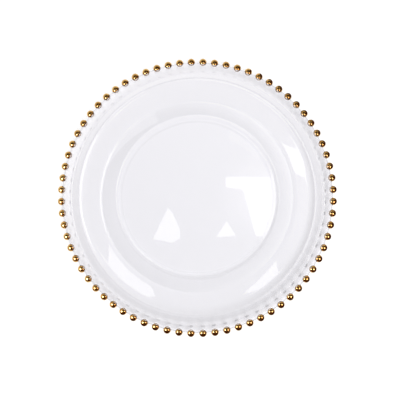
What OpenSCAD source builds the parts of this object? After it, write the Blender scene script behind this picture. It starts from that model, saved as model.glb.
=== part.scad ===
// Round charger plate of clear pressed glass with a beaded rim. The beads are moulded in one
// piece with the plate, and each carries a coat of gold lustre on its outer side.
// The origin is the centre of the circle on which the foot ring rests.

/* [Well] */
// Diameter of the flat well in which a dinner plate stands
well_d = 194; // [150:1:230]
// Thickness of the pressed glass
glass_t = 3.8; // [3:0.1:5]
// Radius of the hollow corner between the well and the shoulder
well_corner_r = 12; // [6:1:30]

/* [Foot ring] */
// Height of the recess under the well, above the foot's flat
foot_h = 0.8; // [0.4:0.1:1.6]
// Width of the flat on which the foot ring rests
foot_w = 3.2; // [2.4:0.2:8]
// Width of the ramp between the foot's flat and the recess
foot_ramp_w = 2.3; // [2:0.1:8]
// How far the foot's flat ends inside the edge of the well
foot_inset = 0.5; // [0:0.5:6]
// Radius of the foot ring's outer moulded corner
foot_corner_r = 0.8; // [0.2:0.1:1.5]
// Radius of the soft corners at both ends of the ramp
ramp_corner_r = 3; // [1:0.5:6]

/* [Shoulder] */
// Width of the sloping shoulder round the well
shoulder_w = 19.5; // [12:0.5:26]
// Height that the shoulder climbs
shoulder_rise = 7.9; // [4:0.1:10]
// Radius of the shoulder's crest, where the flange starts
shoulder_corner_r = 20; // [8:1:40]

/* [Flange] */
// Width of the gently sloping flange
flange_w = 21.5; // [14:0.5:36]
// Height that the flange climbs
flange_rise = 2.7; // [1.5:0.1:5]
// Radius of the hollow corner at the foot of the wall
wall_corner_r = 26; // [6:1:30]

/* [Wall and rim] */
// Width of the steeper wall below the rim
wall_w = 11; // [8:0.5:16]
// Height that the wall climbs to the rim
wall_rise = 6; // [4:0.1:8]
// Radius of the lip, where the wall turns into the level rim
lip_corner_r = 8; // [5:0.5:12]
// Width of the level rim outside the lip
rim_w = 11; // [9:0.5:16]

/* [Beads] */
// Number of beads round the rim
bead_count = 72; // [48:1:90]
// Outside diameter of a bead over its gold coat
bead_d = 9; // [7.5:0.1:10]
// How far a bead's centre stands outside the edge of the rim
bead_out = 0.5; // [0:0.1:2]
// Thickness of the gold coat
coat_t = 0.3; // [0.2:0.05:0.5]
// How far the coat's edge lies inward past a bead's centre
coat_reach = 1.4; // [0.5:0.1:2]
// How far the coat's edge leans from upright, so that the gold comes further inward on top
coat_tilt = 31; // [0:1:40]

/* [Hidden] */
bead_groups = 24;
arc_step = 4;
round_facets = 96;
plate_facets = 288;

well_r = well_d / 2;
shoulder_r = well_r + shoulder_w;
flange_r = shoulder_r + flange_w;
lip_r = flange_r + wall_w;
rim_r = lip_r + rim_w;

well_top = foot_h + glass_t;
shoulder_top = well_top + shoulder_rise;
flange_top = shoulder_top + flange_rise;
rim_top = flange_top + wall_rise;
rim_mid = rim_top - glass_t / 2;
rim_round_r = rim_r - glass_t / 2;

foot_out_r = well_r - foot_inset;
foot_in_r = foot_out_r - foot_w;

bead_circle_r = rim_r + bead_out;
bead_pitch = 360 / bead_count;
core_d = bead_d - 2 * coat_t;

function group_name(g) = str("gold_beads_", g < 10 ? "0" : "", g);
function group_of(i) = 1 + floor(i * bead_groups / bead_count);

// A corner of an outline is [radius from the axis, height, fillet]
function flat(p) = [p[0], p[1]];
function along(a, b) = (flat(b) - flat(a)) / norm(flat(b) - flat(a));
function left_of(d) = [-d[1], d[0]];
function heading(d) = atan2(d[1], d[0]);

// Arc that rounds corner b between a and c. The fillet is limited by the shorter side.
function arc_points(a, b, c) =
    let (
        d1 = along(a, b),
        d2 = along(b, c),
        side = sign(d1[0] * d2[1] - d1[1] * d2[0]),
        turn = acos(d1 * d2),
        room = 0.48 * min(norm(flat(b) - flat(a)), norm(flat(c) - flat(b))),
        fillet = min(b[2], room / tan(turn / 2)),
        start = flat(b) - d1 * fillet * tan(turn / 2),
        centre = start + left_of(d1) * side * fillet,
        steps = max(2, ceil(turn / arc_step))
    )
    [for (k = [0 : steps])
        let (aim = heading(d1) + side * (turn * k / steps - 90))
        centre + fillet * [cos(aim), sin(aim)]];

// Outline through the given corners, with every inner corner rounded
function rounded(path) = concat(
    [flat(path[0])],
    [for (k = [1 : len(path) - 2]) each arc_points(path[k - 1], path[k], path[k + 1])],
    [flat(path[len(path) - 1])]
);

// Corner k of the upper face moved down, square to that face, by the glass thickness
function under(path, k) =
    let (
        n1 = left_of(along(path[k - 1], path[k])),
        n2 = left_of(along(path[k], path[k + 1])),
        hollow = n2[0] < n1[0],
        p = flat(path[k]) - glass_t * (n1 + n2) / (1 + n1 * n2)
    )
    [p[0], p[1], path[k][2] + (hollow ? glass_t : -glass_t)];

upper_path = [
    [0, well_top, 0],
    [well_r, well_top, well_corner_r],
    [shoulder_r, shoulder_top, shoulder_corner_r],
    [flange_r, flange_top, wall_corner_r],
    [lip_r, rim_top, lip_corner_r],
    [rim_round_r, rim_top, 0]
];

lower_path = [
    [rim_round_r, rim_top - glass_t, 0],
    under(upper_path, 4),
    under(upper_path, 3),
    under(upper_path, 2),
    [foot_out_r, 0, foot_corner_r],
    [foot_in_r, 0, ramp_corner_r],
    [foot_in_r - foot_ramp_w, foot_h, ramp_corner_r],
    [0, foot_h, 0]
];

// Full round along the edge of the rim
module rim_round() {
    translate([rim_round_r, rim_mid])
        circle(d = glass_t, $fn = round_facets);
}

module plate_section() {
    polygon(concat(rounded(upper_path), rounded(lower_path)));
    rim_round();
}

// The level rim alone, on which the gold coats end
module rim_section() {
    translate([lip_r, rim_top - glass_t])
        square([rim_round_r - lip_r, glass_t]);
    rim_round();
}

// Puts a bead in its place on the rim. The gaps between beads lie on the X and Y axes.
module at_bead(i) {
    rotate([0, 0, (i + 0.5) * bead_pitch])
        translate([bead_circle_r, 0, rim_mid])
            children();
}

// Coat of one bead about its own centre, open downward and towards the middle of the plate
module gold_coat() {
    rotate([0, 90 - coat_tilt, 0])
        difference() {
            sphere(d = bead_d, $fn = round_facets);
            sphere(d = core_d, $fn = round_facets);
            translate([-bead_d, -bead_d, -coat_reach - bead_d])
                cube([2 * bead_d, 2 * bead_d, bead_d]);
        }
}

module glass_plate() {
    color([0.92, 0.92, 0.95, 0.6])
        union() {
            rotate_extrude($fn = plate_facets)
                plate_section();
            for (i = [0 : bead_count - 1])
                at_bead(i) sphere(d = core_d, $fn = round_facets);
        }
}

module gold_beads(g) {
    color([0.80, 0.58, 0.20])
        difference() {
            for (i = [0 : bead_count - 1])
                if (group_of(i) == g)
                    at_bead(i) gold_coat();
            rotate_extrude($fn = plate_facets)
                rim_section();
        }
}

glass_plate();
for (g = [1 : bead_groups])
    gold_beads(g);
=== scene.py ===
import math

import bmesh
import bpy
from mathutils import Matrix, Vector


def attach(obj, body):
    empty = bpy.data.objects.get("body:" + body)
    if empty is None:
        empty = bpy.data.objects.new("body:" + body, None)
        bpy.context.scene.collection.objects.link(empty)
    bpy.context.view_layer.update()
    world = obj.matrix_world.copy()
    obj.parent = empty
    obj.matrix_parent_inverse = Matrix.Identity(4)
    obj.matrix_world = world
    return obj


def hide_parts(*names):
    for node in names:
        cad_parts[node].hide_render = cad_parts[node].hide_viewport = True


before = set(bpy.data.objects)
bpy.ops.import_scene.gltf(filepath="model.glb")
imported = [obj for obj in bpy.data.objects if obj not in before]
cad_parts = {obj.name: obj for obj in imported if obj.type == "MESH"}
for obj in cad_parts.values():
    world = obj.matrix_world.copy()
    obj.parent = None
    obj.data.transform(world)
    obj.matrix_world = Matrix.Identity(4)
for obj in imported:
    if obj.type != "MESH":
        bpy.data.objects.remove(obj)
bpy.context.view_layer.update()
print("frame loaded,", len(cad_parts), "nodes")

mm = 0.001
scene = bpy.context.scene
scene.view_settings.view_transform = "Standard"


def linear(hexColour):
    # sRGB hex to the linear values that shaders take
    parts = [int(hexColour[i:i + 2], 16) / 255 for i in (1, 3, 5)]
    return [c / 12.92 if c <= 0.04045 else ((c + 0.055) / 1.055) ** 2.4 for c in parts] + [1.0]


def addNode(tree, kind, links=None, **settings):
    # one node with its settings; each input takes a value, a socket or another node's first output
    node = tree.nodes.new(kind)
    for name, value in settings.items():
        setattr(node, name, value)
    sockets = [s for s in node.inputs if s.enabled]
    for key, value in (links or {}).items():
        socket = sockets[key] if isinstance(key, int) else next(s for s in sockets if s.name == key)
        if isinstance(value, bpy.types.Node):
            value = next(s for s in value.outputs if s.enabled)
        if isinstance(value, bpy.types.NodeSocket):
            tree.links.new(value, socket)
        else:
            socket.default_value = value
    return node


def newMaterial(name):
    material = bpy.data.materials.new(name)
    material.use_nodes = True
    material.node_tree.nodes.clear()
    return material, material.node_tree


# Camera, nearly straight above the plate, fitted to the ring of beads and the edge of the well
viewSpec = {
    "place": (8.9, -41.8, 609.1),  # mm
    "aim": (3.5, -5.3, 19.3),
    "lens": 45.0,
    "sensor": 36.0,
    "pixels": 400,
}


def addCamera(spec):
    data = bpy.data.cameras.new("camera")
    data.lens = spec["lens"]
    data.sensor_width = spec["sensor"]
    camera = bpy.data.objects.new("camera", data)
    scene.collection.objects.link(camera)
    place = Vector(spec["place"]) * mm
    back = (place - Vector(spec["aim"]) * mm).normalized()
    right = Vector((0, 1, 0)).cross(back).normalized()  # keeps +Y upright in the picture
    turn = Matrix((right, back.cross(right), back)).transposed()
    camera.matrix_world = Matrix.Translation(place) @ turn.to_4x4()
    scene.camera = camera
    return camera


camera = addCamera(viewSpec)
print("camera set")


# Pressed soda-lime glass: clear with a faint cool cast, fire-polished, a little wavy from the mould.
# It shows as crisp highlights and thin grey lines where the section turns; the light it lets through is
# painted darker under the lip, the well's corner and beside each bead, as painted shadow on the floor.
glassSpec = {
    "tint": "#F7F6FA",
    "ior": 1.52,
    "passed": 0.865,  # share of a lamp's light that one face lets through
    "passedRim": 0.901,  # the same at the rim; painted light: more passes there, standing in for light that comes in under the rim
    "rimStart": 132.0,  # mm
    "lipRadius": 149.6,  # mm; painted shadow: a dark ring on the floor under the bend of the lip
    "lipWidth": 4.5,
    "lipShade": 0.9,
    "lipLeast": 0.06,  # share of that shade for light from any way
    "slantStart": 0.16,  # how far light strikes off square, as one less the cosine
    "slantEnd": 0.32,
    "slantShade": 0.1,  # what each face takes from light that strikes it at a slant
    "footRadius": 98.0,  # mm; painted shadow: a dark line on the floor under the well's corner
    "footWidth": 2.5,
    "footShade": 0.45,
    "cornerRadius": 156.1,  # mm; painted shadow: a small dark dash on the floor beside each bead, under the hollow corner between rim and bead
    "cornerWidth": 0.7,
    "cornerTurn": 0.75,  # degrees to each side of a bead
    "cornerShade": 0.9,
    "cornerFacing": 0.002,  # for light from straight above alone, as one less the cosine
    "waveSize": 26.0,  # mm between swells of the mould
    "waveDepth": 0.012,  # mm
    "roughLow": 0.0,
    "roughHigh": 0.0035,  # still a sharp mirror
    "hazeSize": 40.0,  # mm
    "hazeLow": 0.35,  # noise between these sets the roughness
    "hazeHigh": 0.75,
}


def paintedCornerDash(tree, place, radius, spec, beadCount):
    # painted shadow: a small dark dash in the light from straight above, at the hollow corner by each bead
    real = "ShaderNodeMath"
    atCorner = addNode(tree, real, {
        0: radius, 1: spec["cornerRadius"] * mm, 2: spec["cornerWidth"] * mm}, operation="COMPARE")
    parts = addNode(tree, "ShaderNodeSeparateXYZ", {0: place})
    turn = addNode(tree, real, {0: parts.outputs["Y"], 1: parts.outputs["X"]}, operation="ARCTAN2")
    pitch = math.tau / beadCount
    within = addNode(tree, real, {0: turn, 1: pitch}, operation="FLOORED_MODULO")
    atBead = addNode(tree, real, {
        0: within, 1: pitch / 2, 2: math.radians(spec["cornerTurn"])}, operation="COMPARE")
    up = addNode(tree, "ShaderNodeCombineXYZ", {"Z": 1.0})
    leaning = addNode(tree, "ShaderNodeLayerWeight", {"Blend": 0.5, "Normal": up}).outputs["Facing"]
    upright = addNode(tree, real, {0: leaning, 1: spec["cornerFacing"]}, operation="LESS_THAN")
    cornered = addNode(tree, real, {0: atCorner, 1: atBead}, operation="MULTIPLY")
    dash = addNode(tree, real, {0: cornered, 1: upright}, operation="MULTIPLY")
    return addNode(tree, "ShaderNodeMapRange", {
        "Value": dash, "To Min": 1.0, "To Max": 1 - spec["cornerShade"]})


def paintedShadowShare(tree, place, spec, beadCount):
    # what a face leaves of a lamp's light, by its distance from the axis and the slant of the light; the
    # rings and dashes this leaves on the floor are painted shadow
    real, vector = "ShaderNodeMath", "ShaderNodeVectorMath"
    level = addNode(tree, vector, {0: place, 1: (1.0, 1.0, 0.0)}, operation="MULTIPLY")
    radius = addNode(tree, vector, {0: level}, operation="LENGTH").outputs["Value"]
    whole = addNode(tree, "ShaderNodeMapRange", {
        "Value": radius, "From Min": spec["rimStart"] * mm, "From Max": spec["lipRadius"] * mm,
        "To Min": spec["passed"], "To Max": spec["passedRim"]})
    facing = addNode(tree, "ShaderNodeLayerWeight", {"Blend": 0.5}).outputs["Facing"]
    slant = addNode(tree, "ShaderNodeMapRange", {
        "Value": facing, "From Min": spec["slantStart"], "From Max": spec["slantEnd"],
        "To Min": spec["lipLeast"]})

    # painted shadow under the lip: its bend takes most of what strikes it at a slant
    fromLip = addNode(tree, real, {0: radius, 1: spec["lipRadius"] * mm}, operation="SUBTRACT")
    offLip = addNode(tree, real, {0: fromLip}, operation="ABSOLUTE")
    bend = addNode(tree, "ShaderNodeMapRange", {
        "Value": offLip, "From Max": spec["lipWidth"] * mm, "To Min": 1.0, "To Max": 0.0})
    lost = addNode(tree, real, {0: bend, 1: slant}, operation="MULTIPLY")
    left = addNode(tree, "ShaderNodeMapRange", {
        "Value": lost, "To Min": 1.0, "To Max": 1 - spec["lipShade"]})

    # every other face takes a little of it, and the well's corner more, as a painted shadow line
    fromFoot = addNode(tree, real, {0: radius, 1: spec["footRadius"] * mm}, operation="SUBTRACT")
    offFoot = addNode(tree, real, {0: fromFoot}, operation="ABSOLUTE")
    foot = addNode(tree, "ShaderNodeMapRange", {
        "Value": offFoot, "From Max": spec["footWidth"] * mm, "To Min": spec["footShade"],
        "To Max": spec["slantShade"]})
    taken = addNode(tree, real, {0: foot, 1: slant}, operation="MULTIPLY")
    line = addNode(tree, real, {0: 1.0, 1: taken}, operation="SUBTRACT")
    lined = addNode(tree, real, {0: whole, 1: line}, operation="MULTIPLY")
    lipShaded = addNode(tree, real, {0: lined, 1: left}, operation="MULTIPLY")
    dashed = paintedCornerDash(tree, place, radius, spec, beadCount)
    return addNode(tree, real, {0: lipShaded, 1: dashed}, operation="MULTIPLY")


def pressedGlass(spec, beadCount):
    material, tree = newMaterial("pressedSodaLimeGlass")
    place = addNode(tree, "ShaderNodeTexCoord").outputs["Object"]
    swell = addNode(tree, "ShaderNodeTexNoise", {
        "Vector": place, "Scale": 1 / (spec["waveSize"] * mm), "Detail": 1.0})
    bump = addNode(tree, "ShaderNodeBump", {
        "Height": swell, "Distance": spec["waveDepth"] * mm, "Strength": 1.0})
    haze = addNode(tree, "ShaderNodeTexNoise", {
        "Vector": place, "Scale": 1 / (spec["hazeSize"] * mm), "Detail": 3.0})
    rough = addNode(tree, "ShaderNodeMapRange", {
        "Value": haze, "From Min": spec["hazeLow"], "From Max": spec["hazeHigh"],
        "To Min": spec["roughLow"], "To Max": spec["roughHigh"]})
    glass = addNode(tree, "ShaderNodeBsdfPrincipled", {
        "Base Color": linear(spec["tint"]), "Transmission Weight": 1.0, "IOR": spec["ior"],
        "Roughness": rough, "Normal": bump})
    # a lamp's light passes straight through, with what each face leaves of it, so its shadow carries the
    # painted rings and dashes
    clear = addNode(tree, "ShaderNodeBsdfTransparent", {"Color": paintedShadowShare(tree, place, spec, beadCount)})
    shadow = addNode(tree, "ShaderNodeLightPath").outputs["Is Shadow Ray"]
    surface = addNode(tree, "ShaderNodeMixShader", {0: shadow, 1: glass, 2: clear})
    addNode(tree, "ShaderNodeOutputMaterial", {"Surface": surface})
    return material


# Gold lustre, painted on and fired: a thin mirror coat, warm and bright, streaked by the brush
# and browner where it thins out at its edge.
goldSpec = {
    "bright": "#E4C07C",
    "deep": "#BE8A38",
    "edge": "#7A4A14",
    "roughLow": 0.04,
    "roughHigh": 0.1,
    "streakSize": 2.2,  # mm
    "streakDepth": 0.01,  # mm
    "streakLow": 0.3,  # noise between these sets the roughness
    "streakHigh": 0.7,
    "edgeStart": 0.86,  # share of the way to its edge from which the gold thins out
}


def goldLustre(spec):
    material, tree = newMaterial("firedGoldLustre")
    place = addNode(tree, "ShaderNodeTexCoord").outputs["Object"]
    streak = addNode(tree, "ShaderNodeTexNoise", {
        "Vector": place, "Scale": 1 / (spec["streakSize"] * mm), "Detail": 4.0})
    tone = addNode(tree, "ShaderNodeAttribute", attribute_name="beadTone").outputs["Fac"]
    uneven = addNode(tree, "ShaderNodeMath", {0: streak, 1: tone}, operation="MULTIPLY")
    body = addNode(tree, "ShaderNodeMix", {
        "Factor": uneven, "A": linear(spec["bright"]), "B": linear(spec["deep"])}, data_type="RGBA")
    row = addNode(tree, "ShaderNodeAttribute", attribute_name="coatRow").outputs["Fac"]
    thin = addNode(tree, "ShaderNodeMapRange", {
        "Value": row, "From Min": spec["edgeStart"], "From Max": 1.0})
    colour = addNode(tree, "ShaderNodeMix", {
        "Factor": thin, "A": body, "B": linear(spec["edge"])}, data_type="RGBA")
    rough = addNode(tree, "ShaderNodeMapRange", {
        "Value": streak, "From Min": spec["streakLow"], "From Max": spec["streakHigh"],
        "To Min": spec["roughLow"], "To Max": spec["roughHigh"]})
    bump = addNode(tree, "ShaderNodeBump", {"Height": streak, "Distance": spec["streakDepth"] * mm})
    gold = addNode(tree, "ShaderNodeBsdfPrincipled", {
        "Base Color": colour, "Metallic": 1.0, "Roughness": rough, "Normal": bump})
    addNode(tree, "ShaderNodeOutputMaterial", {"Surface": gold})
    return material


def newTree(name, sockets):
    # geometry tree with named inputs, and the outputs of its input node
    tree = bpy.data.node_groups.new(name, "GeometryNodeTree")
    tree.interface.new_socket("Geometry", in_out="OUTPUT", socket_type="NodeSocketGeometry")
    tree.interface.new_socket("Geometry", in_out="INPUT", socket_type="NodeSocketGeometry")
    for label, kind in sockets.items():
        tree.interface.new_socket(label, in_out="INPUT", socket_type=kind)
    return tree, addNode(tree, "NodeGroupInput").outputs


def meshObject(name, points, edges=(), faces=()):
    mesh = bpy.data.meshes.new(name)
    mesh.from_pydata(points, edges, faces)
    obj = bpy.data.objects.new(name, mesh)
    scene.collection.objects.link(obj)
    return obj


def applyTree(obj, tree, values):
    # inputs are set by identifier, then the evaluated result is kept as a plain mesh
    modifier = obj.modifiers.new(tree.name, "NODES")
    modifier.node_group = tree
    for item in tree.interface.items_tree:
        if item.in_out == "INPUT" and item.name in values:
            modifier[item.identifier] = values[item.name]
    depsgraph = bpy.context.evaluated_depsgraph_get()
    result = obj.evaluated_get(depsgraph)
    mesh = bpy.data.meshes.new_from_object(result, preserve_all_data_layers=True, depsgraph=depsgraph)
    obj.modifiers.clear()
    obj.data = mesh
    work = bmesh.new()
    work.from_mesh(mesh)
    bmesh.ops.recalc_face_normals(work, faces=work.faces)
    work.to_mesh(mesh)
    work.free()
    print(obj.name, len(mesh.loops) - 2 * len(mesh.polygons), "triangles")


# Sizes of the rim in mm, as in the solids, which plate and beads share
rimSpec = {
    "radius": 160.0,
    "top": 21.2,
    "thickness": 3.8,
}


# Bead sizes in mm, as in the solids
beadSpec = {
    "count": 72,
    "out": 0.5,  # how far a bead's centre stands outside the edge of the rim
    "radius": 4.5,  # over the gold
    "coreRadius": 4.2,
    "innerRadius": 4.12,  # inside of the gold, a little inside the glass so that no air shows
    "reach": 1.4,  # how far the gold's edge lies inward past the centre
    "tilt": 31.0,  # degrees that the edge leans, so that the gold comes further inward on top
    "around": 36,
    "outerRows": 10,
    "edgeRows": [(0.965, 0.05), (0.985, 0.2), (1.0, 0.5)],  # shares of the way to the edge and of the coat
    "edgeFrom": 60.0,  # degrees from the middle of the gold, from where its edge is looked for
    "edgeSteps": 400,
    "seed": 7,
}
beadCircle = rimSpec["radius"] + beadSpec["out"]  # radius of the ring of bead centres
beadHeight = rimSpec["top"] - rimSpec["thickness"] / 2


# Plate sizes in mm, as in the solids; a corner is radius, height and fillet
plateSpec = {
    "upper": [
        (0, 4.6, 0), (97, 4.6, 12), (116.5, 12.5, 20), (138, 15.2, 26), (149, rimSpec["top"], 8),
        (rimSpec["radius"] - rimSpec["thickness"] / 2, rimSpec["top"], 0)],
    "foot": [(96.5, 0, 0.8), (93.3, 0, 3), (91, 0.8, 3), (0, 0.8, 0)],
    "arcStep": 6.0,  # degrees
    "support": 1.2,  # points this far from a fillet keep the straight stretches flat
    "supportShare": 0.15,  # of the fillet, where that is less
    "rimPoints": (3.8, 2.8, 2.1, 1.4, 0.7),  # distances from the rim's round, where beads grow out
    "rimSteps": 16,
    "stepsPerBead": 14,
    "seat": 3.0,  # the beads are blown up from a point this far inside their centre
    "beadFillet": 0.6,
}


def leftOf(a, b):
    along = (b - a).normalized()
    return Vector((-along.y, along.x))


def underCorner(path, k, thickness):
    # corner of the lower face, one glass thickness square to the upper one
    a, b, c = (Vector(p[:2]) for p in path[k - 1:k + 2])
    n1, n2 = leftOf(a, b), leftOf(b, c)
    p = b - thickness * (n1 + n2) / (1 + n1.dot(n2))
    return p.x, p.y, path[k][2] + (thickness if n2.x < n1.x else -thickness)


def roundedOutline(path, spec):
    points = [Vector(path[0][:2])]
    for before, corner, after in zip(path, path[1:], path[2:]):
        a, b, c = (Vector(p[:2]) for p in (before, corner, after))
        d1, d2 = (b - a).normalized(), (c - b).normalized()
        side = math.copysign(1, d1.x * d2.y - d1.y * d2.x)
        turn = d1.angle(d2)
        reach = corner[2] * math.tan(turn / 2)
        start = b - d1 * reach
        centre = start + leftOf(a, b) * side * corner[2]
        margin = min(spec["support"], spec["supportShare"] * corner[2])
        steps = max(2, math.ceil(math.degrees(turn) / spec["arcStep"]))
        points.append(start - d1 * margin)
        for k in range(steps + 1):
            points.append(centre + Matrix.Rotation(side * turn * k / steps, 2) @ (start - centre))
        points.append(b + d2 * (reach + margin))
    points.append(Vector(path[-1][:2]))
    return points


def plateOutline(spec):
    upper = spec["upper"]
    rim = Vector(upper[-1][:2])
    thickness = rimSpec["thickness"]
    half = thickness / 2
    lower = [(rim.x, rim.y - thickness, 0)]
    lower += [underCorner(upper, k, thickness) for k in (4, 3, 2)] + spec["foot"]
    points = roundedOutline(upper, spec)[:-1]
    points += [rim - Vector((away, 0)) for away in spec["rimPoints"]]
    for k in range(spec["rimSteps"] + 1):
        aim = math.pi * (0.5 - k / spec["rimSteps"])
        points.append(rim + half * Vector((math.cos(aim), math.sin(aim) - 1)))
    points += [rim - Vector((away, thickness)) for away in reversed(spec["rimPoints"])]
    points += roundedOutline(lower, spec)[1:]
    return points


def buildPlateTree():
    tree, given = newTree("pressedPlate", {
        "Steps per bead": "NodeSocketInt", "Bead count": "NodeSocketInt",
        "Bead circle": "NodeSocketFloat", "Bead height": "NodeSocketFloat",
        "Core radius": "NodeSocketFloat", "Seat": "NodeSocketFloat", "Fillet": "NodeSocketFloat",
        "Glass": "NodeSocketMaterial"})
    whole, real, vector = "FunctionNodeIntegerMath", "ShaderNodeMath", "ShaderNodeVectorMath"
    perBead, count = given["Steps per bead"], given["Bead count"]

    # a grid with one row for each point of the outline and one column for each step round the axis
    rows = addNode(tree, "GeometryNodeAttributeDomainSize", {"Geometry": given["Geometry"]})
    steps = addNode(tree, whole, {0: perBead, 1: count}, operation="MULTIPLY")
    columns = addNode(tree, whole, {0: steps, 1: 1}, operation="ADD")
    grid = addNode(tree, "GeometryNodeMeshGrid", {"Vertices X": rows, "Vertices Y": columns})
    index = addNode(tree, "GeometryNodeInputIndex")
    row = addNode(tree, whole, {0: index, 1: columns}, operation="DIVIDE_FLOOR")
    column = addNode(tree, whole, {0: index, 1: columns}, operation="MODULO")
    bead = addNode(tree, whole, {0: column, 1: perBead}, operation="DIVIDE_FLOOR")
    within = addNode(tree, whole, {0: column, 1: perBead}, operation="MODULO")

    # the outline is turned within half a pitch of its bead, which lies on +X
    pitch = addNode(tree, real, {0: math.tau, 1: count}, operation="DIVIDE")
    share = addNode(tree, real, {0: within, 1: perBead}, operation="DIVIDE")
    offCentre = addNode(tree, real, {0: share, 1: 0.5}, operation="SUBTRACT")
    swing = addNode(tree, real, {0: offCentre, 1: pitch}, operation="MULTIPLY")
    point = addNode(tree, "GeometryNodeSampleIndex", {
        "Geometry": given["Geometry"], "Value": addNode(tree, "GeometryNodeInputPosition"),
        "Index": row}, data_type="FLOAT_VECTOR", domain="POINT")
    swung = addNode(tree, "ShaderNodeVectorRotate", {
        "Vector": point, "Angle": swing}, rotation_type="Z_AXIS")

    # what lies inside the bead is pushed out from the seat to the bead's ball
    seatX = addNode(tree, real, {0: given["Bead circle"], 1: given["Seat"]}, operation="SUBTRACT")
    seat = addNode(tree, "ShaderNodeCombineXYZ", {"X": seatX, "Z": given["Bead height"]})
    away = addNode(tree, vector, {0: swung, 1: seat}, operation="SUBTRACT")
    length = addNode(tree, vector, {0: away}, operation="LENGTH")
    aim = addNode(tree, vector, {0: away}, operation="NORMALIZE")
    aimX = addNode(tree, "ShaderNodeSeparateXYZ", {0: aim})
    along = addNode(tree, real, {0: aimX, 1: given["Seat"]}, operation="MULTIPLY")
    alongSquared = addNode(tree, real, {0: along, 1: along}, operation="MULTIPLY")
    seatSquared = addNode(tree, real, {0: given["Seat"], 1: given["Seat"]}, operation="MULTIPLY")
    ballSquared = addNode(tree, real, {
        0: given["Core radius"], 1: given["Core radius"]}, operation="MULTIPLY")
    spare = addNode(tree, real, {0: ballSquared, 1: seatSquared}, operation="SUBTRACT")
    square = addNode(tree, real, {0: alongSquared, 1: spare}, operation="ADD")
    root = addNode(tree, real, {0: square}, operation="SQRT")
    ball = addNode(tree, real, {0: along, 1: root}, operation="ADD")
    reach = addNode(tree, real, {0: length, 1: ball, 2: given["Fillet"]}, operation="SMOOTH_MAX")
    pushed = addNode(tree, vector, {"Vector": aim, "Scale": reach}, operation="SCALE")
    grown = addNode(tree, vector, {0: seat, 1: pushed}, operation="ADD")

    # and the whole pitch is turned to its bead
    middle = addNode(tree, real, {0: bead, 1: 0.5}, operation="ADD")
    turn = addNode(tree, real, {0: middle, 1: pitch}, operation="MULTIPLY")
    placed = addNode(tree, "ShaderNodeVectorRotate", {
        "Vector": grown, "Angle": turn}, rotation_type="Z_AXIS")
    formed = addNode(tree, "GeometryNodeSetPosition", {"Geometry": grid, "Position": placed})
    weld = 0.001 * mm  # closes the grid's seams
    closed = addNode(tree, "GeometryNodeMergeByDistance", {"Geometry": formed, "Distance": weld})
    solid = addNode(tree, "GeometryNodeRealizeInstances", {"Geometry": closed})
    smooth = addNode(tree, "GeometryNodeSetShadeSmooth", {"Geometry": solid, "Shade Smooth": True})
    finished = addNode(tree, "GeometryNodeSetMaterial", {"Geometry": smooth, "Material": given["Glass"]})
    addNode(tree, "NodeGroupOutput", {"Geometry": finished})
    return tree


def buildPlate(spec, beads):
    points = [(p.x * mm, 0, p.y * mm) for p in plateOutline(spec)]
    plate = meshObject("pressedPlate", points, [(i, i + 1) for i in range(len(points) - 1)])
    applyTree(plate, buildPlateTree(), {
        "Steps per bead": spec["stepsPerBead"], "Bead count": beads["count"],
        "Bead circle": beadCircle * mm, "Bead height": beadHeight * mm,
        "Core radius": beads["coreRadius"] * mm, "Seat": spec["seat"] * mm,
        "Fillet": spec["beadFillet"] * mm, "Glass": pressedGlass(glassSpec, beads["count"])})
    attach(plate, "root")
    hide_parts("glass_plate")
    return plate


plate = buildPlate(plateSpec, beadSpec)


def coatPoint(radius, polar, azimuth, spec):
    # polar angle from the middle of the gold, which leans up from the outward direction
    tilt = math.radians(spec["tilt"])
    axis = Vector((math.cos(tilt), 0, math.sin(tilt)))
    side = Vector((0, 1, 0))
    across = math.cos(azimuth) * side + math.sin(azimuth) * axis.cross(side)
    return radius * (math.cos(polar) * axis + math.sin(polar) * across)


def coatEnd(azimuth, spec):
    # polar angle at which the gold ends: at its reach, or where the rim enters the bead
    last = math.acos(-spec["reach"] / spec["radius"])
    first, steps = math.radians(spec["edgeFrom"]), spec["edgeSteps"]
    half = rimSpec["thickness"] / 2
    for k in range(steps):
        polar = first + (last - first) * k / steps
        p = coatPoint(spec["radius"], polar, azimuth, spec)
        if abs(p.z) < half and p.x < -spec["out"] - half + math.sqrt(half ** 2 - p.z ** 2):
            return polar
    return last


def coatMesh(spec):
    # rows from the outer pole over the edge to the inner pole, as share of the way to the edge and radius
    outer, inner = spec["radius"], spec["innerRadius"]
    steps, around = spec["outerRows"], spec["around"]
    rows = [(k / steps, outer) for k in range(1, steps)]
    rows += [(share, outer - depth * (outer - inner)) for share, depth in spec["edgeRows"]]
    rows += [(1.0, inner)] + [(k / steps, inner) for k in range(steps - 1, 0, -2)]
    turns = [math.tau * j / around for j in range(around)]
    ends = [coatEnd(t, spec) for t in turns]
    points = [coatPoint(outer, 0, 0, spec) * mm]
    shares = [0.0]
    for share, radius in rows:
        points += [coatPoint(radius, end * share, t, spec) * mm for t, end in zip(turns, ends)]
        shares += [share] * around
    points.append(coatPoint(inner, 0, 0, spec) * mm)
    shares.append(0.0)
    last = len(points) - 1
    faces = []
    for j in range(around):
        k = (j + 1) % around
        faces.append((0, 1 + j, 1 + k))
        for r in range(len(rows) - 1):
            a = 1 + r * around
            faces.append((a + j, a + around + j, a + around + k, a + k))
        faces.append((last, last - around + k, last - around + j))
    return points, faces, shares


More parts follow.
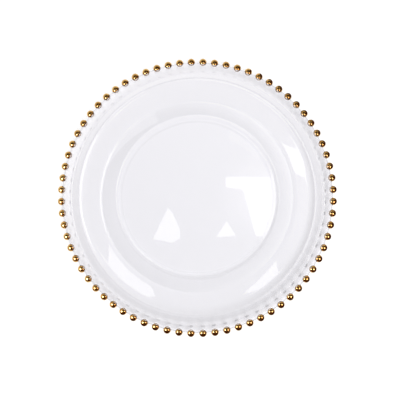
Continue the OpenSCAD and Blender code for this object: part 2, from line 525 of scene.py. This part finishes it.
def buildBeadTree():
    tree, given = newTree("goldBeads", {
        "Bead count": "NodeSocketInt", "Bead circle": "NodeSocketFloat", "Bead height": "NodeSocketFloat",
        "Seed": "NodeSocketInt", "Gold": "NodeSocketMaterial"})
    real = "ShaderNodeMath"
    ring = addNode(tree, "GeometryNodeMeshCircle", {
        "Vertices": given["Bead count"], "Radius": given["Bead circle"]})
    halfPitch = addNode(tree, real, {0: math.pi, 1: given["Bead count"]}, operation="DIVIDE")
    centres = addNode(tree, "GeometryNodeTransform", {
        "Geometry": ring, "Translation": addNode(tree, "ShaderNodeCombineXYZ", {"Z": given["Bead height"]}),
        "Rotation": addNode(tree, "ShaderNodeCombineXYZ", {"Z": halfPitch})})
    place = addNode(tree, "ShaderNodeSeparateXYZ", {0: addNode(tree, "GeometryNodeInputPosition")})
    facing = addNode(tree, real, {0: place.outputs["Y"], 1: place.outputs["X"]}, operation="ARCTAN2")
    beads = addNode(tree, "GeometryNodeInstanceOnPoints", {
        "Points": centres, "Instance": given["Geometry"],
        "Rotation": addNode(tree, "ShaderNodeCombineXYZ", {"Z": facing})})
    tone = addNode(tree, "FunctionNodeRandomValue", {"Seed": given["Seed"]}, data_type="FLOAT")
    toned = addNode(tree, "GeometryNodeStoreNamedAttribute", {
        "Geometry": beads, "Name": "beadTone", "Value": tone}, data_type="FLOAT", domain="INSTANCE")
    solid = addNode(tree, "GeometryNodeRealizeInstances", {"Geometry": toned})
    smooth = addNode(tree, "GeometryNodeSetShadeSmooth", {"Geometry": solid, "Shade Smooth": True})
    finished = addNode(tree, "GeometryNodeSetMaterial", {"Geometry": smooth, "Material": given["Gold"]})
    addNode(tree, "NodeGroupOutput", {"Geometry": finished})
    return tree


def buildBeads(spec):
    points, faces, shares = coatMesh(spec)
    beads = meshObject("goldBeads", points, (), faces)
    beads.data.attributes.new("coatRow", "FLOAT", "POINT").data.foreach_set("value", shares)
    applyTree(beads, buildBeadTree(), {
        "Bead count": spec["count"], "Bead circle": beadCircle * mm, "Bead height": beadHeight * mm,
        "Seed": spec["seed"], "Gold": goldLustre(goldSpec)})
    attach(beads, "root")
    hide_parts(*[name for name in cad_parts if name.startswith("gold_beads")])
    return beads


beads = buildBeads(beadSpec)


# Stage: white floor, soft light for it, and lamps, panels and bands that only mirror in glass and gold
stageSpec = {
    "floorColour": "#F4F4F5",
    "floorSize": 6.0,  # m
    "floorDrop": 0.2,  # mm below the foot
    "floorLift": 0.14,  # share of the white that the floor has of itself
    "backdrop": "#FFFFFF",  # what shows past the floor, beside the plate and through it
    "roomLight": "#DAD2C8",
    "roomDark": "#54290A",
    "roomLightWay": (-0.45, 0.8, -0.35),  # the room is light this way and dark away from it
    "roomChange": (-0.1, 0.4),  # cosines of the angle to that way between which it changes
}


def paperFloor(spec):
    material, tree = newMaterial("whitePaper")
    real = "ShaderNodeMath"
    path = addNode(tree, "ShaderNodeLightPath").outputs
    faced = addNode(tree, real, {0: path["Is Camera Ray"], 1: path["Is Glossy Ray"]}, operation="MAXIMUM")
    seen = addNode(tree, real, {0: faced, 1: path["Is Transmission Ray"]}, operation="MAXIMUM")
    lift = addNode(tree, real, {0: seen, 1: spec["floorLift"]}, operation="MULTIPLY")
    paper = addNode(tree, "ShaderNodeBsdfDiffuse", {"Color": linear(spec["floorColour"])})
    glow = addNode(tree, "ShaderNodeEmission", {"Strength": lift})
    front = addNode(tree, "ShaderNodeAddShader", {0: paper, 1: glow})
    back = addNode(tree, "ShaderNodeBsdfTransparent")
    behind = addNode(tree, "ShaderNodeNewGeometry").outputs["Backfacing"]
    surface = addNode(tree, "ShaderNodeMixShader", {0: behind, 1: front, 2: back})
    addNode(tree, "ShaderNodeOutputMaterial", {"Surface": surface})
    return material


def addFloor(spec):
    half = spec["floorSize"] / 2
    z = -spec["floorDrop"] * mm
    corners = [(-half, -half, z), (half, -half, z), (half, half, z), (-half, half, z)]
    floor = meshObject("floor", corners, (), [(0, 1, 2, 3)])
    floor.data.materials.append(paperFloor(spec))


def addWorld(spec):
    world = bpy.data.worlds.new("studio")
    scene.world = world
    world.use_nodes = True
    tree = world.node_tree
    tree.nodes.clear()
    way = addNode(tree, "ShaderNodeTexCoord").outputs["Generated"]
    lightWay = Vector(spec["roomLightWay"]).normalized()
    towards = addNode(tree, "ShaderNodeVectorMath", {0: way, 1: lightWay}, operation="DOT_PRODUCT")
    share = addNode(tree, "ShaderNodeMapRange", {
        "Value": towards.outputs["Value"], "From Min": spec["roomChange"][0],
        "From Max": spec["roomChange"][1]}, interpolation_type="SMOOTHSTEP")
    room = addNode(tree, "ShaderNodeMix", {
        "Factor": share, "A": linear(spec["roomDark"]), "B": linear(spec["roomLight"])}, data_type="RGBA")
    path = addNode(tree, "ShaderNodeLightPath").outputs
    seen = addNode(tree, "ShaderNodeMath", {
        0: path["Is Camera Ray"], 1: path["Is Transmission Ray"]}, operation="MAXIMUM")
    shown = addNode(tree, "ShaderNodeMix", {
        "Factor": seen, "A": room, "B": linear(spec["backdrop"])}, data_type="RGBA")
    direct = addNode(tree, "ShaderNodeMath", {0: path["Diffuse Depth"], 1: 0.5}, operation="LESS_THAN")
    sky = addNode(tree, "ShaderNodeBackground", {"Color": shown, "Strength": direct})  # lights no floor
    addNode(tree, "ShaderNodeOutputWorld", {"Surface": sky})
    world.cycles.sampling_method = "NONE"


def onlyMirrored(obj, throughGlass=False):
    # shows in glass and gold alone, and neither lights the floor nor shades it
    obj.visible_camera = False
    obj.visible_diffuse = False
    obj.visible_transmission = throughGlass  # then the lower face of the glass mirrors it too
    obj.visible_shadow = False


def glowing(name, colour, strength):
    # shows its colour in glass and gold, and lights no floor through the glass
    material, tree = newMaterial(name)
    depth = addNode(tree, "ShaderNodeLightPath").outputs["Diffuse Depth"]
    level = addNode(tree, "ShaderNodeMapRange", {"Value": depth, "To Min": strength, "To Max": 0.0})
    glow = addNode(tree, "ShaderNodeEmission", {"Color": linear(colour), "Strength": level})
    addNode(tree, "ShaderNodeOutputMaterial", {"Surface": glow})
    material.cycles.emission_sampling = "NONE"
    return material


# Soft light of the whole stage: way it comes from, degrees across, W per square metre
fillSpec = {
    "sideFill": {"comesFrom": (0.28, -0.1, 0.94), "spread": 12.0, "power": 0.85},
    "frontFill": {"comesFrom": (0.16, -0.31, 0.93), "spread": 30.0, "power": 1.28},
    "topFill": {"comesFrom": (0.1, -0.05, 1.0), "spread": 60.0, "power": 0.05},
    "overhead": {"comesFrom": (0.0, 0.0, 1.0), "spread": 1.5, "power": 1.25},
}


def addFill(name, comesFrom, spread, power):
    data = bpy.data.lights.new(name, "SUN")
    data.angle = math.radians(spread)
    data.energy = power
    data.cycles.use_multiple_importance_sampling = False  # only its direct light passes the glass
    fill = bpy.data.objects.new(name, data)
    scene.collection.objects.link(fill)
    fill.rotation_euler = Vector(comesFrom).to_track_quat("Z", "Y").to_euler()
    fill.visible_camera = False
    fill.visible_glossy = False
    fill.visible_transmission = False
    return fill


# Square lamps that show in the gold: place and size in m, power in W
lampSpec = {
    "leftBox": {"place": (-0.24, -0.12, 0.24), "size": 0.18, "power": 0.85, "colour": "#F6EEFF"},
    "rightBox": {"place": (0.22, -0.11, 0.24), "size": 0.12, "power": 0.3, "colour": "#FFE6E0"},
}


def addLamp(name, place, size, power, colour):
    data = bpy.data.lights.new(name, "AREA")
    data.shape = "SQUARE"
    data.size = size
    data.energy = power
    data.color = linear(colour)[:3]
    lamp = bpy.data.objects.new(name, data)
    scene.collection.objects.link(lamp)
    lamp.location = place
    lamp.rotation_euler = (-Vector(place)).to_track_quat("-Z", "Y").to_euler()  # aimed at the plate
    onlyMirrored(lamp)
    return lamp


def groupOf(name, piece):
    group = bpy.data.collections.new(name)
    group.objects.link(piece)
    return group


# Bands that mirror in glass and gold, a bright one over the plate and a dark one round it:
# two edges as radius and height in m, degrees from +X
bandSpec = {
    "eastArc": {
        "edges": ((0.19, 0.6), (0.25, 0.6)), "turns": (-60, 70), "steps": 40,
        "colour": "#FFFFFF", "strength": 1.6, "throughGlass": True},
    "southEastFlag": {
        "edges": ((0.19, 0.0), (0.19, 0.035)), "turns": (-125, 65), "steps": 48,
        "colour": "#401C05", "strength": 1.0, "throughGlass": False},
}


def addBand(name, edges, turns, steps, colour, strength, throughGlass):
    start, end = turns
    aims = [math.radians(start + (end - start) * k / steps) for k in range(steps + 1)]
    points = [(radius * math.cos(t), radius * math.sin(t), z) for t in aims for radius, z in edges]
    faces = [(2 * k, 2 * k + 1, 2 * k + 3, 2 * k + 2) for k in range(steps)]
    band = meshObject(name, points, (), faces)
    band.data.materials.append(glowing(name, colour, strength))
    onlyMirrored(band, throughGlass)
    return band


# Light of the room over the plate that mirrors in the glass: sizes in m
ceilingSpec = {
    "height": 0.62,
    "strength": 1.08,  # over the middle of the plate
    "rise": (1.3, 0.7, 0.0),  # for each metre along X and Y
    "glowPlace": (0.16, 0.04, 0.0),  # a softer, brighter part of it
    "glowRadius": 0.14,
    "glow": 0.85,
    "inGold": "#544636",  # the sharp mirror of the glass shows the light, the softer gold this
    "seenThrough": "#FFFFFF",  # where it shows through the glass and not as a mirror image
    "ringCentre": (-0.01, 0.07, 0.0),
    "rings": {  # inner radius, light from the dark to the bright side, and the way to that side
        "near": {"start": 0.235, "levels": (0.2, 2.6), "way": (-0.951, -0.309, 0.0)},
        "middle": {"start": 0.325, "levels": (0.0, 1.0), "way": (-0.1, 0.995, 0.0)},
        "far": {"start": 0.385, "levels": (0.0, 1.7), "way": (0.05, -0.999, 0.0)},
    },
    "ringTurn": (-0.6, 1.0),  # cosines of the angle to that way between which a ring's light changes
    "ringSoft": 0.05,  # share of its radius, to each side, over which a ring fades in
    "outerRadius": 0.9,
    "steps": 64,
}


def ceilingLight(spec):
    material, tree = newMaterial("ceiling")
    real, vector = "ShaderNodeMath", "ShaderNodeVectorMath"
    place = addNode(tree, "ShaderNodeTexCoord").outputs["Object"]
    flat = addNode(tree, vector, {0: place, 1: (1.0, 1.0, 0.0)}, operation="MULTIPLY")
    change = addNode(tree, vector, {0: flat, 1: spec["rise"]}, operation="DOT_PRODUCT")
    middle = addNode(tree, real, {0: change.outputs["Value"], 1: spec["strength"]}, operation="ADD")
    fromGlow = addNode(tree, vector, {0: flat, 1: spec["glowPlace"]}, operation="DISTANCE")
    glow = addNode(tree, "ShaderNodeMapRange", {
        "Value": fromGlow.outputs["Value"], "From Max": spec["glowRadius"],
        "To Min": spec["glow"], "To Max": 0.0}, interpolation_type="SMOOTHSTEP")
    level = addNode(tree, real, {0: middle, 1: glow}, operation="ADD")

    # outside the middle each ring in turn takes over
    way = addNode(tree, vector, {0: flat}, operation="NORMALIZE")
    away = addNode(tree, vector, {0: flat, 1: spec["ringCentre"]}, operation="DISTANCE")
    for ring in spec["rings"].values():
        towards = addNode(tree, vector, {0: way, 1: ring["way"]}, operation="DOT_PRODUCT")
        light = addNode(tree, "ShaderNodeMapRange", {
            "Value": towards.outputs["Value"],
            "From Min": spec["ringTurn"][0], "From Max": spec["ringTurn"][1],
            "To Min": ring["levels"][0], "To Max": ring["levels"][1]})
        share = addNode(tree, "ShaderNodeMapRange", {
            "Value": away.outputs["Value"], "From Min": (1 - spec["ringSoft"]) * ring["start"],
            "From Max": (1 + spec["ringSoft"]) * ring["start"]})
        level = addNode(tree, "ShaderNodeMix", {"Factor": share, "A": level, "B": light})

    # it shows in its own way in the glass, in the gold and through the glass, and lights no floor
    path = addNode(tree, "ShaderNodeLightPath").outputs
    direct = addNode(tree, real, {0: path["Diffuse Depth"], 1: 0.5}, operation="LESS_THAN")
    mirrored = addNode(tree, "ShaderNodeMix", {
        "Factor": path["Is Singular Ray"], "A": linear(spec["inGold"]), "B": level}, data_type="RGBA")
    through = addNode(tree, real, {0: path["Glossy Depth"], 1: 0.5}, operation="LESS_THAN")
    shown = addNode(tree, "ShaderNodeMix", {
        "Factor": through, "A": mirrored, "B": linear(spec["seenThrough"])}, data_type="RGBA")
    lamp = addNode(tree, "ShaderNodeEmission", {"Color": shown, "Strength": direct})
    addNode(tree, "ShaderNodeOutputMaterial", {"Surface": lamp})
    material.cycles.emission_sampling = "NONE"
    return material


def addCeiling(spec):
    turns = [math.tau * k / spec["steps"] for k in range(spec["steps"])]
    outer = spec["outerRadius"]
    points = [(outer * math.cos(t), outer * math.sin(t), spec["height"]) for t in turns]
    ceiling = meshObject("ceiling", points, (), [range(spec["steps"])])
    ceiling.data.materials.append(ceilingLight(spec))
    onlyMirrored(ceiling, throughGlass=True)


def mirroredFrom(pixel, height, spec, level):
    # where the camera's line through a pixel comes to, mirrored in the well and up to a height
    half = spec["sensor"] / 2 / spec["lens"]
    x, y = (2 * c / spec["pixels"] - 1 for c in pixel)
    ray = camera.matrix_world.to_3x3() @ Vector((x * half, -y * half, -1))
    place = camera.matrix_world.translation
    met = place + ray * (level - place.z) / ray.z
    ray.z = -ray.z
    return met + ray * (height - level) / ray.z


# Outlines of the bright panels as they mirror in the well, in pixels of the 400 by 400 picture
cardSpec = {
    "height": 0.6,  # m
    "colour": "#FFFFFF",
    "cards": {  # strength and corners
        "rightCard": (3.4, [
            (226, 177), (292, 177), (284, 237), (256, 236), (246, 200), (243, 189), (226, 187)]),
        "leftCard": (2.5, [
            (168, 208), (173, 214), (180, 230), (180, 238), (172, 243), (153, 239), (163, 218)]),
        "smallCard": (2.8, [(227, 221), (236, 236), (216, 237)]),
    },
}


def addCards(spec):
    level = plateSpec["upper"][0][1] * mm
    for name, (strength, outline) in spec["cards"].items():
        points = [mirroredFrom(pixel, spec["height"], viewSpec, level) for pixel in outline]
        card = meshObject(name, points, (), [range(len(points))])
        card.data.materials.append(glowing(name, spec["colour"], strength))
        onlyMirrored(card, throughGlass=True)


addFloor(stageSpec)
addWorld(stageSpec)
onlyGlass = groupOf("onlyGlass", plate)
onlyGold = groupOf("onlyGold", beads)
fills = {name: addFill(name, **values) for name, values in fillSpec.items()}
for name in ("sideFill", "overhead"):
    fills[name].light_linking.blocker_collection = onlyGlass  # no bead throws a shadow in these two
for name, values in lampSpec.items():
    lamp = addLamp(name, **values)
    lamp.light_linking.receiver_collection = onlyGold
bands = {name: addBand(name, **values) for name, values in bandSpec.items()}
bands["eastArc"].light_linking.receiver_collection = onlyGlass
addCeiling(ceilingSpec)
addCards(cardSpec)
print("stage set")
